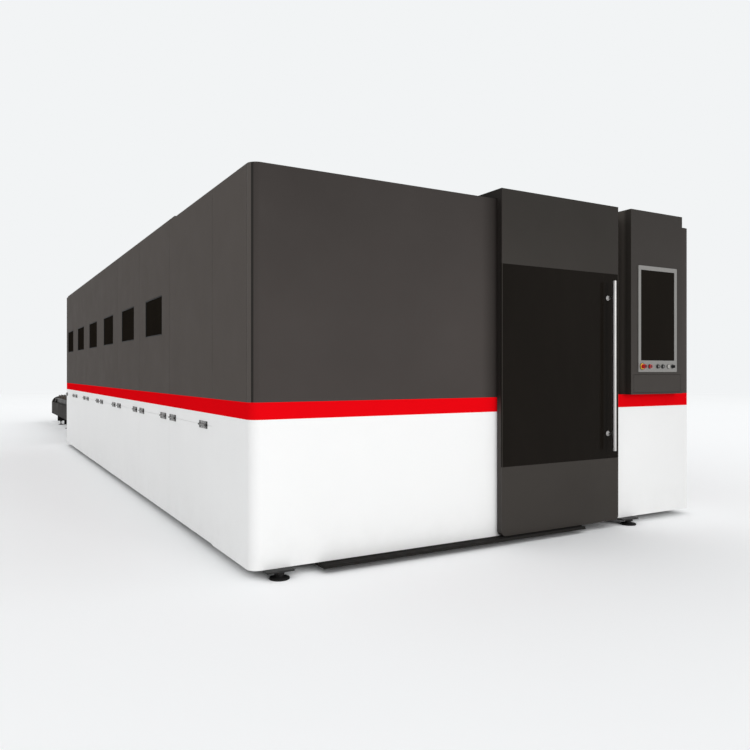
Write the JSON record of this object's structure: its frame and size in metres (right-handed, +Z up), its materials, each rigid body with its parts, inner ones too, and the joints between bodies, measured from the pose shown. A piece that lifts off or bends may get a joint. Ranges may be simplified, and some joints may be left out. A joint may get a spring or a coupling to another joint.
{
  "type": "fiber laser cutting machine",
  "caption": "Fully enclosed flat-bed laser cutting machine: sliding glass door, proud operator console, red band, side flaps, gantry inside and exchange table behind.",
  "frame": {"origin": "on the floor, under the middle of the whole machine with its exchange table", "axes": "+X along the front towards the console, +Y from the front wall to the exchange table, +Z up"},
  "size_m": [3.8392, 14.8284, 2.428],
  "materials": {
    "dark_sheet": "satin warm dark grey powder coat",
    "white_sheet": "satin white powder coat",
    "red_sheet": "satin red powder coat",
    "black_sheet": "matt black coating",
    "pale_sheet": "textured light grey powder coat",
    "bed_paint": "hard-wearing grey machine paint",
    "pallet_paint": "dark grey machine paint",
    "raw_steel": "bare mild steel sheet",
    "machined_steel": "ground steel",
    "handle_steel": "finely brushed stainless steel",
    "beam_aluminium": "painted and milled aluminium",
    "head_aluminium": "anodised aluminium",
    "dark_glass": "dark tinted safety glass",
    "screen_glass": "dark glossy screen",
    "bezel": "satin mid grey",
    "red_plastic": "moulded red plastic",
    "yellow_plastic": "moulded yellow plastic",
    "pale_plastic": "moulded pale plastic",
    "black_plastic": "moulded black plastic"
  },
  "bodies": {
    "machine": {"bed_frame": "bed_paint", "console_bezel": "bezel", "console_housing": "dark_sheet", "console_screen": "screen_glass", "control_cabinet": "pale_sheet", "door_bottom_rail": "black_sheet", "door_frame": "dark_sheet", "door_track": "machined_steel", "front_left_lower_panel": "white_sheet", "front_left_upper_panel": "dark_sheet", "front_right_lower_panel": "white_sheet", "front_right_upper_panel": "dark_sheet", "gear_racks": "machined_steel", "guide_rails": "machined_steel", "laser_source": "pale_sheet", "left_lower_frame": "white_sheet", "left_upper_wall": "dark_sheet", "levelling_feet": "black_sheet", "pallet_tracks": "bed_paint", "rear_lower_panels": "white_sheet", "rear_upper_wall": "dark_sheet", "red_bands": "red_sheet", "right_lower_wall": "white_sheet", "right_upper_wall": "dark_sheet", "roof_cover": "dark_sheet", "roof_panel": "dark_sheet", "shutter_guides": "machined_steel", "slag_trays": "raw_steel", "stop_collar": "yellow_plastic", "table_frame": "dark_sheet", "window_panes": "dark_glass"},
    "door": {"door_leaf": "dark_sheet", "door_glass": "dark_glass", "door_hood": "dark_sheet", "door_hangers": "machined_steel", "door_handle": "handle_steel"},
    "gantry": {"gantry_beam": "beam_aluminium", "gantry_end_carriages": "bed_paint", "cross_rails": "machined_steel"},
    "carriage": {"cross_carriage": "machined_steel"},
    "head": {"cutting_head": "head_aluminium"},
    "upper_pallet": {"upper_pallet_frame": "pallet_paint", "upper_pallet_slats": "raw_steel"},
    "lower_pallet": {"lower_pallet_frame": "pallet_paint", "lower_pallet_slats": "raw_steel"},
    "shutter": {"rear_shutter": "dark_sheet"},
    "drawer": {"keyboard_drawer": "dark_sheet"},
    "stop": {"emergency_stop": "red_plastic"},
    "red_push": {"red_button": "red_plastic"},
    "ring_push_left": {"ring_button_left": "black_plastic"},
    "ring_push_right": {"ring_button_right": "black_plastic"},
    "pale_push": {"pale_button": "pale_plastic"},
    "key": {"key_switch": "handle_steel"},
    "flap_1": {"access_flap_1": "white_sheet"},
    "flap_2": {"access_flap_2": "white_sheet"},
    "flap_3": {"access_flap_3": "white_sheet"},
    "flap_4": {"access_flap_4": "white_sheet"},
    "flap_5": {"access_flap_5": "white_sheet"},
    "flap_6": {"access_flap_6": "white_sheet"},
    "flap_7": {"access_flap_7": "white_sheet"}
  },
  "joints": [
    {"name": "door_slide", "type": "slide", "parent": "machine", "child": "door", "axis": [-1, 0, 0], "range_m": [0, 1.09]},
    {"name": "gantry_travel", "type": "slide", "parent": "machine", "child": "gantry", "axis": [0, 1, 0], "range_m": [0, 6.65]},
    {"name": "cross_travel", "type": "slide", "parent": "gantry", "child": "carriage", "axis": [1, 0, 0], "range_m": [-1, 1]},
    {"name": "head_lift", "type": "slide", "parent": "carriage", "child": "head", "axis": [0, 0, 1], "range_m": [-0.36, 0]},
    {"name": "upper_pallet_travel", "type": "slide", "parent": "machine", "child": "upper_pallet", "axis": [0, -1, 0], "range_m": [0, 6.605]},
    {"name": "lower_pallet_travel", "type": "slide", "parent": "machine", "child": "lower_pallet", "axis": [0, 1, 0], "range_m": [0, 6.605]},
    {"name": "shutter_lift", "type": "slide", "parent": "machine", "child": "shutter", "axis": [0, 0, 1], "range_m": [-0.7, 0]},
    {"name": "drawer_pull", "type": "slide", "parent": "machine", "child": "drawer", "axis": [0, -1, 0], "range_m": [0, 0.18]},
    {"name": "stop_press", "type": "slide", "parent": "machine", "child": "stop", "axis": [0, 1, 0], "range_m": [0, 0.0047]},
    {"name": "red_press", "type": "slide", "parent": "machine", "child": "red_push", "axis": [0, 1, 0], "range_m": [0, 0.0027], "stiffness_N_per_m": 400},
    {"name": "ring_left_press", "type": "slide", "parent": "machine", "child": "ring_push_left", "axis": [0, 1, 0], "range_m": [0, 0.0027], "stiffness_N_per_m": 400},
    {"name": "ring_right_press", "type": "slide", "parent": "machine", "child": "ring_push_right", "axis": [0, 1, 0], "range_m": [0, 0.0027], "stiffness_N_per_m": 400},
    {"name": "pale_press", "type": "slide", "parent": "machine", "child": "pale_push", "axis": [0, 1, 0], "range_m": [0, 0.0027], "stiffness_N_per_m": 400},
    {"name": "key_turn", "type": "hinge", "parent": "machine", "child": "key", "pos_m": [1.6027, -7.36075, 1.219], "axis": [0, -1, 0], "range_deg": [0, 90]},
    {"name": "flap_hinge_1", "type": "hinge", "parent": "machine", "child": "flap_1", "pos_m": [-1.9133, -6.00375, 0.822], "axis": [0, 1, 0], "range_deg": [0, 80]},
    {"name": "flap_hinge_2", "type": "hinge", "parent": "machine", "child": "flap_2", "pos_m": [-1.9133, -4.87975, 0.822], "axis": [0, 1, 0], "range_deg": [0, 80]},
    {"name": "flap_hinge_3", "type": "hinge", "parent": "machine", "child": "flap_3", "pos_m": [-1.9133, -3.75575, 0.822], "axis": [0, 1, 0], "range_deg": [0, 80]},
    {"name": "flap_hinge_4", "type": "hinge", "parent": "machine", "child": "flap_4", "pos_m": [-1.9133, -2.63175, 0.822], "axis": [0, 1, 0], "range_deg": [0, 80]},
    {"name": "flap_hinge_5", "type": "hinge", "parent": "machine", "child": "flap_5", "pos_m": [-1.9133, -1.50775, 0.822], "axis": [0, 1, 0], "range_deg": [0, 80]},
    {"name": "flap_hinge_6", "type": "hinge", "parent": "machine", "child": "flap_6", "pos_m": [-1.9133, -0.38375, 0.822], "axis": [0, 1, 0], "range_deg": [0, 80]},
    {"name": "flap_hinge_7", "type": "hinge", "parent": "machine", "child": "flap_7", "pos_m": [-1.9133, 0.74025, 0.822], "axis": [0, 1, 0], "range_deg": [0, 80]}
  ],
  "couplings": [
    {"joint": "lower_pallet_travel", "follows": "upper_pallet_travel", "ratio": 1}
  ]
}
